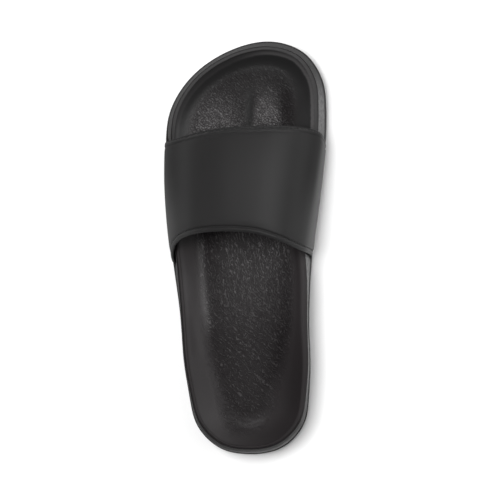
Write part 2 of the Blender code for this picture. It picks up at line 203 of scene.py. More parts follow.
sole = piece_from_solid("sole", "moulded_sole")
bpy.ops.mesh.select_mode(type="EDGE")
bpy.ops.mesh.edges_select_sharp(sharpness=TREAD_EDGE_ANGLE)
bpy.ops.transform.edge_crease(value=1.0)
round_off(sole, 2)

# the joint with the footbed is closed, and the side wall swells round the heel
spots, facing = points_of(sole), normals_of(sole)
inward = -outward_share(spots, facing)
rim = spots[(facing[:, 2] > SQUARE_ON) & (spots[:, 2] > RIM_LEAST_Z)]
_, rim_index = nearest(rim * (1, 1, 0), spots * (1, 1, 0))
below_rim = rim[rim_index, 2] - spots[:, 2]
in_tray = rise(TRAY_LEAST_Z, TRAY_LEAST_Z + TRAY_FADE, spots[:, 2])
closing = facing * (JOINT_CLOSE * rise(*TRAY_WALL_INWARD, inward) * in_tray)[:, None]
fill_share = joint_share(spots) * rise(*JOINT_INWARD, inward) * rise(JOINT_DEPTH, JOINT_TOP, below_rim)
closing[:, 2] += JOINT_FILL * fill_share * in_tray
swelling = HEEL_SWELL * rise(*SWELL_Y, spots[:, 1]) * rise(*SWELL_BELOW_RIM, below_rim)
swelling *= rise(*SIDE_WALL_OUTWARD, -inward)
closing[:, :2] += facing[:, :2] * swelling[:, None]
move_points(sole, spots + closing)

# the skin is rubbed smooth along the inner side, at the heel and a little at the toe, and a lighter colour
# paints a sheen on it there
across, along = spots[:, 0], spots[:, 1]
side_heel = RUBBED_SHEEN_SHARES["side at the heel"]
side_rubbed_sheen = rise(*SIDE_RUB_SHEEN_X, across) * rise(*SIDE_RUB_SHEEN_Y, along)
side_rubbed_sheen *= side_heel + (1 - side_heel) * rise(*SIDE_RUB_SHEEN_HEEL_Y, along)
heel_rubbed_sheen = RUBBED_SHEEN_SHARES["heel"] * rise(*HEEL_RUB_SHEEN_Y, along) * rise(*HEEL_RUB_SHEEN_X, across)
toe_rubbed_sheen = RUBBED_SHEEN_SHARES["toe"] * rise(*TOE_RUB_SHEEN_Y, along)
mark(sole, "rubbed", np.maximum.reduce([side_rubbed_sheen, heel_rubbed_sheen, toe_rubbed_sheen]))

sole_skin, add, feed = new_finish("pebbled sole foam", SOLE_BLACK, SOLE_ROUGHNESS["plain"], SOLE_SPECULAR)
place = add("ShaderNodeTexCoord").outputs["Object"]
pebbles = add("ShaderNodeTexVoronoi", {"feature": "SMOOTH_F1"}, Vector=place, Scale=PEBBLES_PER_METRE,
              Smoothness=0.6)
mottle = add("ShaderNodeTexNoise", Vector=place, Scale=MOTTLE_PER_METRE, Detail=3.0)
height = add("ShaderNodeMath", {"operation": "MULTIPLY_ADD"}, _0=mottle.outputs["Fac"], _1=MOTTLE_HEIGHT,
             _2=pebbles.outputs["Distance"])
relief = add("ShaderNodeBump", Height=height.outputs[0], Strength=0.35, Distance=PEBBLE_DEPTH)
feed("Normal", relief.outputs["Normal"])
rub_sheen = add("ShaderNodeAttribute", {"attribute_name": "rubbed"}).outputs["Fac"]
patches = add("ShaderNodeTexNoise", Vector=place, Scale=RUB_SHEEN_PATCHES_PER_METRE, Detail=3.0)
patchy = add("ShaderNodeMapRange", Value=patches.outputs["Fac"], From_Min=0.35, From_Max=0.65,
             To_Min=RUB_SHEEN_PATCHES[0], To_Max=RUB_SHEEN_PATCHES[1])
rub_sheen = add("ShaderNodeMath", {"operation": "MULTIPLY"}, _0=rub_sheen, _1=patchy.outputs[0]).outputs[0]
# the rubbed skin gets less roughness and a lighter colour, which is a painted sheen
tone = add("ShaderNodeMix", {"data_type": "RGBA"}, _0=rub_sheen, _6=(*SOLE_BLACK, 1.0), _7=(*SOLE_RUBBED_PAINTED_SHEEN, 1.0))
feed("Base Color", tone.outputs[2])
gloss = add("ShaderNodeMapRange", Value=rub_sheen, To_Min=SOLE_ROUGHNESS["plain"],
            To_Max=SOLE_ROUGHNESS["rubbed"])
feed("Roughness", gloss.outputs[0])
sole.data.materials.append(sole_skin)
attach(sole, "root")
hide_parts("sole")

# Footbed
# A moulded foam insert glued into the sole's tray: smooth lip and side walls, a heel cup, a toe bar with
# a stripe between its two pads, and a grain of fine wrinkles, pebbled under the toes, on its flat.
BED_BLACK = (0.0166, 0.0143, 0.0150)
BED_TOE_BLACK = (0.0146, 0.0144, 0.0146)
# a lighter colour for polished spots: partly wear, partly painted light
BED_WORN_PAINTED_LIGHT = (0.0960, 0.0924, 0.0936)
# painted shade, for the grain's grooves and the dark patches
BED_PAINTED_SHADE = (0.0042, 0.0030, 0.0034)
BED_ROUGHNESS = {"plain": 0.50, "polished": 0.30}
GROOVE_ROUGHNESS = 0.30  # added in the grooves
GRAIN_CELL = 0.0016
GRAIN_DEPTH = 0.00062
GRAIN_START = (0.60, 1.25)  # of the smooth border's width
GRAIN_LOSS = {"stripe": 0.6, "heel slope": 0.15}
GROOVE_SHARE = 0.30  # of a cell, from its edge to its flat top
GROOVE_TOP = 0.75  # of the grain's depth, from which no shade is painted
STREAK_GROOVE = 0.78  # share of the painted shade that the grooves between wrinkles keep
WANDER_PER_METRE = 380.0
WANDER_REACH = 0.0016
UNEVEN_PER_METRE = 240.0
UNEVEN_DEPTH = (0.45, 1.1)  # least and most of the grain's depth, from place to place
FINE_PER_METRE = 2400.0
FINE_DEPTH = 0.08  # of the grain's depth
SLANT_TURN = math.radians(42)
UPRIGHT_TURN = math.radians(78)
BREAK_SIZE = 0.0017
WRINKLE_SPACING = 0.0017
WRINKLE_BEND = 9.0
WRINKLE_BEND_SCALE = 2.1
WRINKLE_EDGE = (0.50, 0.95)  # foot and top of a wrinkle, in the wave's height
WRINKLE_BREAK = (0.38, 0.56)  # where a wrinkle is gone and where it is whole, in the noise
WRINKLE_DEPTH = 1.6  # of the grain's depth, for the upright wrinkles
BREAK_STRETCH = 0.38
LIP_WIDTH = 0.0036
LIP_ROUND = 0.0012
JOINT_SPREAD = 0.0009  # the lip's edge pressed out over the joint
LIP_SOFT = 0.0004  # the lip's inner edge is softer round the toe
LIP_SOFT_WIDTH = 0.0016
CROWN_LEVEL = 0.97  # faces that look further up than this are on the lip's crown
FILL_REACH = 1.3  # of the lip's rounding
SPREAD_REACH = 1.5
EDGE_SKIP = 3  # every third point of the outer edge is enough
STRIPE_FLAT = 1.3  # widens the flat middle of the stripe
STROKE_TAPER = 0.3  # of a stroke's length, at each end
LEAST_LENGTH = 1e-6
UNDERSIDE_TILT = -0.5  # faces that look further down than this are hidden in the tray
UNDERSIDE_SHARE = 0.1  # part of their faces that is kept
# painted highlights, which also lower the roughness: on the lip, the toe's lip and its slope, the bead along
# the outer crease, the heel crescent and its folds
POLISH_PAINTED_HIGHLIGHTS = {"lip": 0.06, "toe lip": 0.16, "lip slope": 0.45, "bead": 0.70, "crescent": 0.10, "folds": 0.20}

# where a change starts and where it is complete: _X across the foot, _Y along it, _IN in from its edge
INNER_HALF_X = (-0.012, 0.016)
HEEL_SLOPE_Y = (-0.108, -0.118)
UPRIGHT_Y = (0.060, 0.030)
LIP_IN = (0.0050, 0.0035)
LIP_POLISH_HIGHLIGHT_Y = (-0.10, -0.02)
TOE_LIP_POLISH_HIGHLIGHT_Y = (0.05, 0.10)
SLOPE_FOOT_IN = (0.0045, 0.0036)
SLOPE_TOP_IN = (0.0016, 0.0030)
SLOPE_POLISH_HIGHLIGHT_X = (-0.010, 0.020)
SLOPE_POLISH_HIGHLIGHT_Y = (0.062, 0.080)
LIP_SOFT_Y = (0.07, 0.11)

# the same for a normal's share along a direction
TOP_UPWARD = (0.1, 0.4)
FILL_UPWARD = (-0.3, 0.1)
SPREAD_OUTWARD = (0.1, 0.4)

footbed = piece_from_solid("footbed", "grained_footbed")
bpy.ops.mesh.select_mode(type="FACE")
round_off(footbed, 3)
for face in footbed.data.polygons:
    face.select = face.normal.z < UNDERSIDE_TILT
bpy.ops.object.mode_set(mode="EDIT")
bpy.ops.mesh.decimate(ratio=UNDERSIDE_SHARE)
bpy.ops.object.mode_set(mode="OBJECT")

# main creases, troughs and ridges, seen from above
strokes = [
    # name, start, end, bow, width, height
    ("bead along the outer crease", (-0.0303, 0.0250), (-0.0228, -0.0660), -0.0009, 0.0026, 0.00040),
    ("bead, heel end", (-0.0240, -0.0560), (-0.0120, -0.1050), -0.0016, 0.0018, 0.00022),
    ("heel crescent", (-0.0130, -0.1080), (0.0180, -0.1095), -0.0080, 0.0030, 0.00012),
    ("fold in the crescent", (-0.0100, -0.1115), (0.0125, -0.1130), -0.0050, 0.0008, 0.00012),
    ("second fold in the crescent", (-0.0070, -0.1150), (0.0140, -0.1150), -0.0042, 0.0008, 0.00010),
    ("third fold in the crescent", (-0.0020, -0.1105), (0.0165, -0.1120), -0.0044, 0.0007, 0.00010),
    ("stripe between the toe pads", (0.0036, 0.1110), (0.0028, 0.0740), 0.0000, 0.0026, -0.00045),
    ("inner toe pad", (0.0138, 0.1080), (0.0145, 0.0740), 0.0000, 0.0060, 0.00080),
    ("slanting trough", (0.0195, 0.1010), (0.0265, 0.0760), 0.0010, 0.0028, -0.00040),
    ("hollow in the outer wall", (-0.0365, -0.0420), (-0.0300, -0.0760), 0.0010, 0.0035, -0.00030),
    ("swell of the outer wall", (-0.0370, -0.0120), (-0.0345, -0.0400), 0.0000, 0.0045, 0.00025),
]
crinkles = [
    # single raised wrinkles: start, end, bow
    ((-0.0038, -0.0663), (0.0054, -0.0759), 0.0008),
    ((0.0104, -0.0610), (0.0221, -0.0720), 0.0010),
    ((0.0001, -0.0823), (0.0081, -0.0876), -0.0006),
    ((-0.0032, -0.0876), (0.0025, -0.0926), 0.0005),
    ((0.0025, -0.0926), (0.0094, -0.0989), 0.0006),
    ((-0.0007, -0.0955), (0.0072, -0.1005), -0.0005),
    ((-0.0072, -0.0995), (-0.0007, -0.1068), -0.0006),
    ((0.0081, -0.0995), (0.0159, -0.1044), 0.0005),
    ((-0.0105, -0.0760), (-0.0015, -0.0850), 0.0008),
    ((0.0120, -0.0800), (0.0195, -0.0860), -0.0005),
    ((-0.0130, -0.0600), (-0.0060, -0.0690), 0.0006),
    ((0.0179, 0.1206), (0.0262, 0.1142), 0.0008),
    ((0.0130, 0.1142), (0.0212, 0.1085), 0.0006),
    ((0.0220, 0.1085), (0.0318, 0.1035), 0.0006),
    ((0.0245, 0.1027), (0.0326, 0.1003), 0.0003),
    ((-0.0246, 0.0986), (-0.0115, 0.1019), 0.0005),
    ((-0.0278, 0.0922), (-0.0180, 0.0955), 0.0005),
    ((-0.0164, 0.1068), (-0.0049, 0.1126), -0.0006),
    ((-0.0033, 0.1167), (0.0049, 0.1142), 0.0004),
]
CRINKLE_WIDTH = 0.0010
CRINKLE_HEIGHT = 0.00016


def stroke_share(spots, start, end, bow, width):
    """1 along a bowed line, falling to 0 in a bell over its width and softly at both its ends."""
    start, end = np.array(start), np.array(end)
    length = np.linalg.norm(end - start)
    along = (end - start) / length
    run = (spots[:, :2] - start) @ along / length
    off = (spots[:, :2] - start) @ np.array([-along[1], along[0]]) - bow * 4 * run * (1 - run)
    return np.exp(-((off / width) ** 2)) * rise(0.0, STROKE_TAPER, run) * rise(1.0, 1.0 - STROKE_TAPER, run)


spots, facing = points_of(footbed), normals_of(footbed)
across, along = spots[:, 0], spots[:, 1]
on_top = rise(*TOP_UPWARD, facing[:, 2])
lift = sum(height * stroke_share(spots, *line) for _, *line, height in strokes)
lift += sum(CRINKLE_HEIGHT * stroke_share(spots, *line, CRINKLE_WIDTH) for line in crinkles)
lines = {name: stroke_share(spots, *line) for name, *line, _ in strokes}

# width of the smooth border, on the outer and the inner side, along the foot
border_rows = np.array([
    # y, outer side, inner side
    (-0.132, 0.0050, 0.0080),
    (-0.114, 0.0160, 0.0200),
    (-0.100, 0.0198, 0.0230),
    (-0.075, 0.0175, 0.0165),
    (-0.050, 0.0155, 0.0100),
    (-0.010, 0.0148, 0.0090),
    (0.060, 0.0130, 0.0165),
    (0.100, 0.0108, 0.0180),
    (0.125, 0.0100, 0.0125),
])
outer_edge = spots[outward_share(spots, facing) > SQUARE_ON] * (1, 1, 0)
from_edge, _ = nearest(outer_edge[::EDGE_SKIP], spots * (1, 1, 0))
outer_width = np.interp(along, border_rows[:, 0], border_rows[:, 1])
inner_width = np.interp(along, border_rows[:, 0], border_rows[:, 2])
inner_share = rise(*INNER_HALF_X, across)
border = outer_width * (1 - inner_share) + inner_width * inner_share
stripe = np.clip(STRIPE_FLAT * lines["stripe between the toe pads"], 0.0, 1.0)
heel_slope = rise(*HEEL_SLOPE_Y, along)
grain_share = rise(*GRAIN_START, from_edge / border) * on_top
grain_share *= 1 - GRAIN_LOSS["stripe"] * stripe
grain_share *= 1 - GRAIN_LOSS["heel slope"] * heel_slope

# how much the grain is drawn out into slanting wrinkles, along the foot
drawn_rows = np.array([
    # y, drawn out
    (-0.060, 1.00),
    (-0.020, 0.15),
    (0.060, 0.15),
    (0.085, 0.55),
    (0.110, 0.90),
])
drawn_share = np.interp(along, drawn_rows[:, 0], drawn_rows[:, 1])
upright_share = rise(*UPRIGHT_Y, along)

# patches that wear has polished and that carry painted light, which lifts the strap's shadow behind the strap
# and lightens the toe pads that face the light; and patches of painted shade, which are also duller
worn_painted_light_patches = [
    # name, x, y, half width, half length, polish and painted light
    ("under the small toes", -0.0200, 0.0800, 0.0180, 0.0190, 1.22),
    ("under the big toe", 0.0145, 0.0820, 0.0085, 0.0160, 1.90),
    ("in front of the toe bar", 0.0060, 0.1080, 0.0200, 0.0100, 0.15),
    ("behind the strap", 0.0055, 0.0010, 0.0200, 0.0180, 1.65),
    ("waist", 0.0000, -0.0250, 0.0260, 0.0300, 0.52),
    ("heel", 0.0020, -0.0800, 0.0200, 0.0400, 0.26),
]
painted_shade_patches = [
    # name, x, y, half width, half length, painted shade and dullness
    ("beside the big toe", 0.0320, 0.0900, 0.0070, 0.0200, 0.60),
    ("slope of the heel", 0.0040, -0.1240, 0.0300, 0.0080, 0.35),
    ("inner wall of the heel", 0.0300, -0.0900, 0.0120, 0.0320, 0.40),
]


def patch_share(patches):
    """Soft oval patches, added up."""
    total = np.zeros(len(spots))
    for _, x, y, half_width, half_length, strength in patches:
        off = ((across - x) / half_width) ** 2 + ((along - y) / half_length) ** 2
        total += strength * np.exp(-off)
    return total


# painted shade from the dark patches, beside the big toe, on the heel's slope and on the heel's inner wall;
# they are also duller
painted_shade_share = np.clip(patch_share(painted_shade_patches), 0.0, 1.0)
polish_painted_light_share = patch_share(worn_painted_light_patches) * grain_share * (1 - stripe)
lip_share = rise(*LIP_IN, from_edge) * on_top
lip_polish_highlight = POLISH_PAINTED_HIGHLIGHTS["lip"] * rise(*LIP_POLISH_HIGHLIGHT_Y, along) + POLISH_PAINTED_HIGHLIGHTS["toe lip"] * rise(*TOE_LIP_POLISH_HIGHLIGHT_Y, along)
polish_painted_light_share += lip_share * lip_polish_highlight
lip_slope = rise(*SLOPE_FOOT_IN, from_edge) * rise(*SLOPE_TOP_IN, from_edge) * on_top
polish_painted_light_share += POLISH_PAINTED_HIGHLIGHTS["lip slope"] * lip_slope * rise(*SLOPE_POLISH_HIGHLIGHT_X, across) * rise(*SLOPE_POLISH_HIGHLIGHT_Y, along)
bead, crescent = lines["bead along the outer crease"], lines["heel crescent"]
polish_painted_light_share += POLISH_PAINTED_HIGHLIGHTS["bead"] * bead + POLISH_PAINTED_HIGHLIGHTS["crescent"] * crescent
polish_painted_light_share += POLISH_PAINTED_HIGHLIGHTS["folds"] * sum(share for name, share in lines.items() if "fold" in name)
polish_painted_light_share = np.clip(polish_painted_light_share, 0.0, 1.0)
mark(footbed, "grain", grain_share)
mark(footbed, "drawn", drawn_share)
mark(footbed, "upright", upright_share)
mark(footbed, "polish", polish_painted_light_share)
mark(footbed, "dull", painted_shade_share)

# the lip's softened inner edge, and its outer edge pressed out over the joint
shift = facing * (lift * on_top)[:, None]
softening = LIP_SOFT * np.exp(-(((from_edge - LIP_WIDTH) / LIP_SOFT_WIDTH) ** 2))
shift[:, 2] -= softening * rise(*LIP_SOFT_Y, along) * on_top
crown = spots[(facing[:, 2] > CROWN_LEVEL) & (from_edge < LIP_WIDTH)]
_, crown_index = nearest(crown * (1, 1, 0), spots * (1, 1, 0))
below_crown = crown[crown_index, 2] - spots[:, 2]
filled = joint_share(spots) * rise(LIP_ROUND * FILL_REACH, LIP_ROUND, from_edge)
filled *= rise(*FILL_UPWARD, facing[:, 2])
shift[:, 2] += np.clip(below_crown, 0.0, LIP_ROUND) * filled
outward = facing[:, :2] / np.maximum(np.linalg.norm(facing[:, :2], axis=1), LEAST_LENGTH)[:, None]
spread = JOINT_SPREAD * filled * rise(LIP_ROUND * SPREAD_REACH, LIP_ROUND, below_crown)
spread *= rise(*SPREAD_OUTWARD, outward_share(spots, facing))
shift[:, :2] += outward * spread[:, None]
move_points(footbed, spots + shift)

bed_skin, add, feed = new_finish("grained footbed foam", BED_BLACK, BED_ROUGHNESS["plain"])
place = add("ShaderNodeTexCoord").outputs["Object"]
wander = add("ShaderNodeTexNoise", Vector=place, Scale=WANDER_PER_METRE, Detail=2.0)
bent = add("ShaderNodeVectorMath", {"operation": "MULTIPLY_ADD"}, _0=wander.outputs["Color"],
           _1=(WANDER_REACH, WANDER_REACH, WANDER_REACH), _2=place)


def wrinkle_grain(turn):
    """Fine raised wrinkles along one direction. A wave's bands lie pi / (10 * scale) apart."""
    turned = add("ShaderNodeMapping", Vector=bent.outputs[0], Rotation=(0.0, 0.0, turn))
    waves = add("ShaderNodeTexWave", {"bands_direction": "Y"}, Vector=turned.outputs[0],
                Scale=math.pi / (10 * WRINKLE_SPACING), Distortion=WRINKLE_BEND, Detail=1.0,
                Detail_Scale=WRINKLE_BEND_SCALE)
    ridges = add("ShaderNodeMapRange", {"interpolation_type": "SMOOTHSTEP"}, Value=waves.outputs["Fac"],
                 From_Min=WRINKLE_EDGE[0], From_Max=WRINKLE_EDGE[1])
    drawn_out = add("ShaderNodeMapping", Vector=turned.outputs[0], Scale=(BREAK_STRETCH, 1.0, 1.0))
    breaks = add("ShaderNodeTexNoise", Vector=drawn_out.outputs[0], Scale=1.0 / BREAK_SIZE, Detail=1.0)
    shown = add("ShaderNodeMapRange", {"interpolation_type": "SMOOTHSTEP"}, Value=breaks.outputs["Fac"],
                From_Min=WRINKLE_BREAK[0], From_Max=WRINKLE_BREAK[1])
    folds = add("ShaderNodeMath", {"operation": "MULTIPLY"}, _0=ridges.outputs[0], _1=shown.outputs[0])
    return folds.outputs[0]


cells = add("ShaderNodeTexVoronoi", {"feature": "DISTANCE_TO_EDGE"}, Vector=bent.outputs[0],
            Scale=1.0 / GRAIN_CELL)
pillows = add("ShaderNodeMapRange", {"interpolation_type": "SMOOTHSTEP"}, Value=cells.outputs["Distance"],
              From_Max=GROOVE_SHARE)
drawn, upright, grain_in, polish, painted_shade_in = (
    add("ShaderNodeAttribute", {"attribute_name": name}).outputs["Fac"]
    for name in ("drawn", "upright", "grain", "polish", "dull")
)
mixed = add("ShaderNodeMix", {"data_type": "FLOAT"}, _0=upright, _2=pillows.outputs[0],
            _3=wrinkle_grain(UPRIGHT_TURN))
mixed = add("ShaderNodeMix", {"data_type": "FLOAT"}, _0=drawn, _2=mixed.outputs[0],
            _3=wrinkle_grain(SLANT_TURN))
coarse = add("ShaderNodeTexNoise", Vector=place, Scale=UNEVEN_PER_METRE, Detail=2.0)
uneven = add("ShaderNodeMapRange", Value=coarse.outputs["Fac"], From_Min=0.3, From_Max=0.7,
             To_Min=UNEVEN_DEPTH[0], To_Max=UNEVEN_DEPTH[1])
pressed = add("ShaderNodeMath", {"operation": "MULTIPLY"}, _0=mixed.outputs[0], _1=uneven.outputs[0])
pressed = add("ShaderNodeMath", {"operation": "MULTIPLY"}, _0=pressed.outputs[0], _1=grain_in)
stronger = add("ShaderNodeMapRange", Value=upright, To_Min=1.0, To_Max=WRINKLE_DEPTH)
pressed = add("ShaderNodeMath", {"operation": "MULTIPLY"}, _0=pressed.outputs[0], _1=stronger.outputs[0])
fine = add("ShaderNodeTexNoise", Vector=place, Scale=FINE_PER_METRE, Detail=3.0)
tilted = add("ShaderNodeMath", {"operation": "MULTIPLY"}, _0=wander.outputs["Fac"], _1=grain_in)
height = add("ShaderNodeMath", {"operation": "ADD"}, _0=tilted.outputs[0], _1=pressed.outputs[0])
height = add("ShaderNodeMath", {"operation": "MULTIPLY_ADD"}, _0=fine.outputs["Fac"], _1=FINE_DEPTH,
             _2=height.outputs[0])
relief = add("ShaderNodeBump", Height=height.outputs[0], Strength=1.0, Distance=GRAIN_DEPTH)
feed("Normal", relief.outputs["Normal"])
low = add("ShaderNodeMapRange", Value=mixed.outputs[0], From_Max=GROOVE_TOP, To_Min=1.0, To_Max=0.0)
streaky = add("ShaderNodeMath", {"operation": "MAXIMUM"}, _0=drawn, _1=upright).outputs[0]
depth = add("ShaderNodeMapRange", Value=streaky, To_Min=1.0, To_Max=STREAK_GROOVE)
# the grain's grooves get painted shade, and the dark patches add theirs
painted_shade = add("ShaderNodeMath", {"operation": "MULTIPLY"}, _0=low.outputs[0], _1=grain_in).outputs[0]
painted_shade = add("ShaderNodeMath", {"operation": "MULTIPLY_ADD", "use_clamp": True}, _0=painted_shade,
             _1=depth.outputs[0], _2=painted_shade_in).outputs[0]
gloss = add("ShaderNodeMapRange", Value=polish, To_Min=BED_ROUGHNESS["plain"],
            To_Max=BED_ROUGHNESS["polished"])
dull = add("ShaderNodeMath", {"operation": "MULTIPLY_ADD"}, _0=painted_shade, _1=GROOVE_ROUGHNESS,
           _2=gloss.outputs[0])
feed("Roughness", dull.outputs[0])
black = add("ShaderNodeMix", {"data_type": "RGBA"}, _0=upright, _6=(*BED_TOE_BLACK, 1.0),
            _7=(*BED_BLACK, 1.0))
# polished spots get a lighter colour: partly wear, partly painted light
worn_painted_light = add("ShaderNodeMix", {"data_type": "RGBA"}, _0=polish, _6=black.outputs[2], _7=(*BED_WORN_PAINTED_LIGHT, 1.0))
shaded = add("ShaderNodeMix", {"data_type": "RGBA"}, _0=painted_shade, _6=worn_painted_light.outputs[2], _7=(*BED_PAINTED_SHADE, 1.0))
feed("Base Color", shaded.outputs[2])
footbed.data.materials.append(bed_skin)
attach(footbed, "root")
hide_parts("footbed")

# Strap
# One wide band of thin foam between a smooth coated face and a knitted lining. Both long edges are folded
# in and stitched down, and its two feet are bonded to the side of the sole.
STRAP_BLACK = (0.0121, 0.0117, 0.0119)
STRAP_ROUGHNESS = {"crown": 0.54, "flank": 0.92}
STRAP_SPECULAR = 0.45
COATING_PER_METRE = 1900.0
COATING_DEPTH = 0.0003
LINING_BLACK = (0.016, 0.016, 0.0165)
LINING_ROUGHNESS = 0.85
LINING_SPECULAR = 0.3
LINING_LOOPS_PER_METRE = 900.0
LINING_DEPTH = 0.0004
LINING_OUTWARD = -0.4  # faces that look further in than this carry the lining
EDGE_FORWARD = 0.8  # faces that look further forward or back than this are on a long edge
EDGE_SPACING = 0.0005
EDGE_ORDER_Z = 0.012  # the points of a long edge are put in order round this height
STRAP_MIDDLE_Z = 0.020  # the arch stands out from this height
HEM_WIDTHS = {"rear": 0.0034, "front": 0.0015}  # from the folded edge to the stitch line
HEM_PUFFS = {"rear": 0.00035, "front": 0.00015}
HEM_FILLS = {"rear": 0.0, "front": 0.0006}  # padding brought up to the stitch line
HEM_FILL_END = (0.0045, 0.0033)  # from the folded edge, where the fill starts and where it is full
PUFF_PLACE = 0.55  # of the hem's width
PUFF_WIDTH = 0.32
SEAM_DEPTH = 0.00055
SEAM_WIDTH = 0.0006
SHOULDER_WIDTH = 0.0050  # padding rises to its full thickness over this width
SHOULDER_DEPTH = 0.00025
FOOT_TOP = 0.0098
FLANK_REAR = 0.5  # share of the flank's dullness at the rear edge
STEEP_GLOSS = 0.9  # share of it that the steep inner flank loses

# where a change starts and where it is complete: _X across the foot, _Y along it, _UPWARD in a normal
FLANK_UPWARD = (0.84, 0.50)
FLANK_Y = (0.015, 0.055)
STEEP_UPWARD = (0.42, 0.22)
STEEP_X = (0.02, 0.04)
OUTSIDE_OUTWARD = (0.0, 0.3)

strap = piece_from_solid("strap", "padded_strap")
bpy.ops.object.mode_set(mode="OBJECT")
edge_spots = {"rear": [], "front": []}
for face in strap.data.polygons:
    if abs(face.normal.y) > EDGE_FORWARD:
        edge_spots["front" if face.normal.y > 0 else "rear"].append(face.center.copy())
for edge in strap.data.edges:
    edge.select = all(strap.data.vertices[v].co.z < FOOT_TOP for v in edge.vertices)
bpy.ops.object.mode_set(mode="EDIT")
bpy.ops.mesh.select_mode(type="EDGE")
bpy.ops.transform.edge_crease(value=1.0)
round_off(strap, 3)


def edge_line(spots, step):
    """A long edge of the strap as evenly spaced points, from its outer foot to its inner foot."""
    ordered = sorted(spots, key=lambda spot: math.atan2(spot.z - EDGE_ORDER_Z, spot.x), reverse=True)
    route = np.array(ordered)
    lengths = np.concatenate([[0.0], np.cumsum(np.linalg.norm(np.diff(route, axis=0), axis=1))])
    places = np.arange(0.0, lengths[-1], step)
    return np.column_stack([np.interp(places, lengths, route[:, k]) for k in range(3)])


# on the outside, the hems puff up, the seams are pulled in and the padding rises from them
spots, facing = points_of(strap), normals_of(strap)
away = np.column_stack([spots[:, 0], np.zeros(len(spots)), spots[:, 2] - STRAP_MIDDLE_Z])
away /= np.linalg.norm(away, axis=1)[:, None]
outside = rise(*OUTSIDE_OUTWARD, (facing * away).sum(axis=1))
lift = np.zeros(len(spots))
for name, hem in HEM_WIDTHS.items():
    from_hem, _ = nearest(edge_line(edge_spots[name], EDGE_SPACING), spots)
    lift += HEM_PUFFS[name] * np.exp(-(((from_hem - hem * PUFF_PLACE) / (hem * PUFF_WIDTH)) ** 2))
    lift -= SEAM_DEPTH * np.exp(-(((from_hem - hem) / SEAM_WIDTH) ** 2))
    past_seam = rise(hem - SEAM_WIDTH, hem, from_hem)
    lift -= SHOULDER_DEPTH * rise(hem + SHOULDER_WIDTH, hem, from_hem) * past_seam
    lift += HEM_FILLS[name] * rise(*HEM_FILL_END, from_hem) * past_seam
move_points(strap, spots + facing * (outside * lift)[:, None])

# the flanks are duller than the crown
flank = rise(*FLANK_UPWARD, facing[:, 2]) * (FLANK_REAR + (1 - FLANK_REAR) * rise(*FLANK_Y, spots[:, 1]))
flank *= 1 - STEEP_GLOSS * rise(*STEEP_UPWARD, facing[:, 2]) * rise(*STEEP_X, spots[:, 0])
mark(strap, "flank", flank)

strap_skin, add, feed = new_finish(
    "smooth coated strap", STRAP_BLACK, STRAP_ROUGHNESS["crown"], STRAP_SPECULAR
)
place = add("ShaderNodeTexCoord").outputs["Object"]
fine = add("ShaderNodeTexNoise", Vector=place, Scale=COATING_PER_METRE, Detail=4.0)
relief = add("ShaderNodeBump", Height=fine.outputs["Fac"], Strength=0.08, Distance=COATING_DEPTH)
feed("Normal", relief.outputs["Normal"])
flank_in = add("ShaderNodeAttribute", {"attribute_name": "flank"}).outputs["Fac"]
gloss = add("ShaderNodeMapRange", Value=flank_in, To_Min=STRAP_ROUGHNESS["crown"],
            To_Max=STRAP_ROUGHNESS["flank"])
feed("Roughness", gloss.outputs[0])

lining_skin, add, feed = new_finish("knitted lining", LINING_BLACK, LINING_ROUGHNESS, LINING_SPECULAR)
place = add("ShaderNodeTexCoord").outputs["Object"]
loops = add("ShaderNodeTexVoronoi", Vector=place, Scale=LINING_LOOPS_PER_METRE)
relief = add("ShaderNodeBump", Height=loops.outputs["Distance"], Strength=0.5, Distance=LINING_DEPTH)
feed("Normal", relief.outputs["Normal"])

strap.data.materials.append(strap_skin)
strap.data.materials.append(lining_skin)
for face in strap.data.polygons:
    outward = Vector((face.center.x, 0.0, face.center.z - STRAP_MIDDLE_Z)).normalized()
    face.material_index = 1 if face.normal.dot(outward) < LINING_OUTWARD else 0
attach(strap, "root")
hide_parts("strap")

# Stitching
# One row of lockstitches in waxed black thread along each folded edge of the strap, pulled down into the
# padding. Each stitch is a short rounded loop of thread between two needle holes.
STITCH_PITCH = 0.0031
STITCH_LENGTH = 0.0025
THREAD_THICKNESS = 0.00055
THREAD_PROUD = 0.1  # of its thickness, from the strap's face to the loop's middle
THREAD_BLACK = (0.011, 0.011, 0.011)
THREAD_ROUGHNESS = 0.6
TWIST_PER_METRE = 5000.0
TWIST_DEPTH = 0.0001
SEARCH_LIFT = 0.001  # the strap's face is looked for from this far above it

bpy.ops.object.select_all(action="DESELECT")
bpy.ops.mesh.primitive_uv_sphere_add(segments=8, ring_count=6, radius=0.5)
stitch = bpy.context.object
bpy.ops.transform.resize(value=(STITCH_LENGTH, THREAD_THICKNESS, THREAD_THICKNESS))
bpy.ops.object.transform_apply(scale=True)
stitch_points = points_of(stitch)
stitch_faces = [tuple(face.vertices) for face in stitch.data.polygons]
bpy.ops.object.delete()

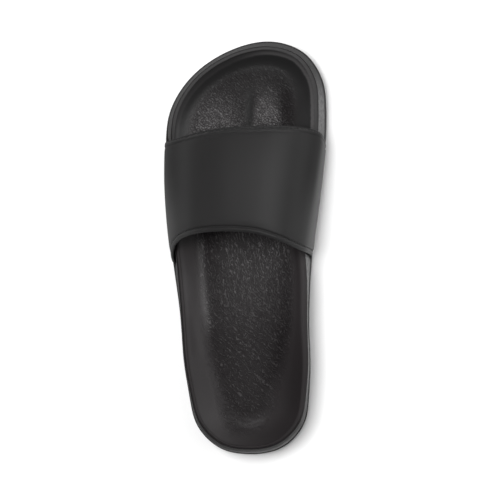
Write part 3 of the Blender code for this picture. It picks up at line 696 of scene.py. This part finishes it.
outer_faces = [tuple(face.vertices) for face in strap.data.polygons if face.material_index == 0]
outer_face = BVHTree.FromPolygons([v.co.copy() for v in strap.data.vertices], outer_faces)
thread_points, thread_faces = [], []
for name, inward in (("rear", 1.0), ("front", -1.0)):
    line = edge_line(edge_spots[name], STITCH_PITCH)
    for before, after in zip(line[1:-2], line[2:-1]):
        middle = Vector((before + after) / 2)
        along = Vector(after - before).normalized()
        outward = Vector((middle.x, 0.0, middle.z - STRAP_MIDDLE_Z)).normalized()
        into = along.cross(outward).normalized()
        into *= inward * math.copysign(1.0, into.y)
        sought = middle + into * HEM_WIDTHS[name] + outward * SEARCH_LIFT
        spot, normal, _, _ = outer_face.find_nearest(sought)
        side = normal.cross(along).normalized()
        turn = np.array([along, side, normal])
        first = len(thread_points) * len(stitch_points)
        centre = spot + normal * THREAD_THICKNESS * THREAD_PROUD
        thread_points.append(stitch_points @ turn + np.array(centre))
        thread_faces += [tuple(first + v for v in face) for face in stitch_faces]
stitch_mesh = bpy.data.meshes.new("strap_stitches")
stitch_mesh.from_pydata(np.concatenate(thread_points).tolist(), [], thread_faces)
stitches = bpy.data.objects.new("strap_stitches", stitch_mesh)
bpy.context.scene.collection.objects.link(stitches)
stitch_mesh.shade_smooth()
thread, add, feed = new_finish("waxed black thread", THREAD_BLACK, THREAD_ROUGHNESS)
place = add("ShaderNodeTexCoord").outputs["Object"]
twist = add("ShaderNodeTexNoise", Vector=place, Scale=TWIST_PER_METRE, Detail=2.0)
relief = add("ShaderNodeBump", Height=twist.outputs["Fac"], Strength=0.4, Distance=TWIST_DEPTH)
feed("Normal", relief.outputs["Normal"])
stitch_mesh.materials.append(thread)
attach(stitches, "root")

# Floor
# A wide sheet of matt white paper, laid flat, that the sandal stands on.
FLOOR_SIZE = 8.0
PAPER_WHITE = (0.86, 0.86, 0.86)
PAPER_ROUGHNESS = 0.9
PAPER_SPECULAR = 0.2

bpy.ops.object.select_all(action="DESELECT")
bpy.ops.mesh.primitive_plane_add(size=FLOOR_SIZE, location=(0.0, 0.0, 0.0))
floor = bpy.context.object
floor.name = "floor"
paper, _, _ = new_finish("white paper", PAPER_WHITE, PAPER_ROUGHNESS, PAPER_SPECULAR)
floor.data.materials.append(paper)

# Light
# A strong light overhead whitens the floor and stays out of the gloss. Four weak soft boxes, at the inner
# side, the toe, the toe's corner and the outer side, give the black foam its sheen.
BACKDROP_LIGHT = 0.01  # what the white backdrop adds to the light on the sandal


def soft_box(name, place, aim, size, power, shines=True):
    """A rectangular light turned to a point, which shows in the gloss if it shines."""
    light = bpy.data.lights.new(name, "AREA")
    light.shape = "RECTANGLE"
    light.size, light.size_y = size
    light.energy = power
    lamp = bpy.data.objects.new(name, light)
    bpy.context.scene.collection.objects.link(lamp)
    lamp.location = place
    lamp.rotation_euler = (Vector(aim) - Vector(place)).to_track_quat("-Z", "Y").to_euler()
    lamp.visible_glossy = shines


soft_box("floor light", (-0.43, 0.18, 1.90), (0.0, 0.0, 0.0), (0.8, 0.8), 43.0, shines=False)
soft_box("inner side light", (1.00, -0.05, 1.05), (0.0, 0.0, 0.03), (0.8, 0.8), 4.0)
soft_box("toe light", (0.12, 0.80, 1.35), (0.0, 0.05, 0.03), (0.7, 0.5), 2.8)
soft_box("toe corner light", (0.70, 0.70, 1.15), (0.0, 0.05, 0.03), (0.6, 0.6), 5.1)
soft_box("outer side light", (-1.00, 0.10, 1.05), (0.0, 0.0, 0.03), (0.8, 0.8), 1.9)
world = bpy.data.worlds.new("studio")
bpy.context.scene.world = world
world.use_nodes = True
world_tree = world.node_tree
backdrop = world_tree.nodes["Background"]
seen = world_tree.nodes.new("ShaderNodeLightPath")
share = world_tree.nodes.new("ShaderNodeMapRange")
share.inputs["To Min"].default_value = BACKDROP_LIGHT
share.inputs["To Max"].default_value = 1.0
world_tree.links.new(seen.outputs["Is Camera Ray"], share.inputs["Value"])
world_tree.links.new(share.outputs[0], backdrop.inputs["Strength"])
backdrop.inputs["Color"].default_value = (1.0, 1.0, 1.0, 1.0)

# Camera
# Overhead, a little to the sandal's inner side and turned to its middle, as in the photograph.
CAMERA_PLACE = (0.06525, 0.0008, 1.6)
FRAME_PIXELS = 492
FOCAL_PIXELS = 2372
lens = bpy.data.cameras.new("camera")
camera = bpy.data.objects.new("camera", lens)
bpy.context.scene.collection.objects.link(camera)
lens.lens = lens.sensor_width * FOCAL_PIXELS / FRAME_PIXELS
camera.location = CAMERA_PLACE
tilt = math.atan2(CAMERA_PLACE[0], CAMERA_PLACE[2])
camera.rotation_euler = (0.0, tilt, 0.0)
lens.clip_start, lens.clip_end = 0.05, 20.0
bpy.context.scene.camera = camera
bpy.context.scene.view_settings.view_transform = "Standard"
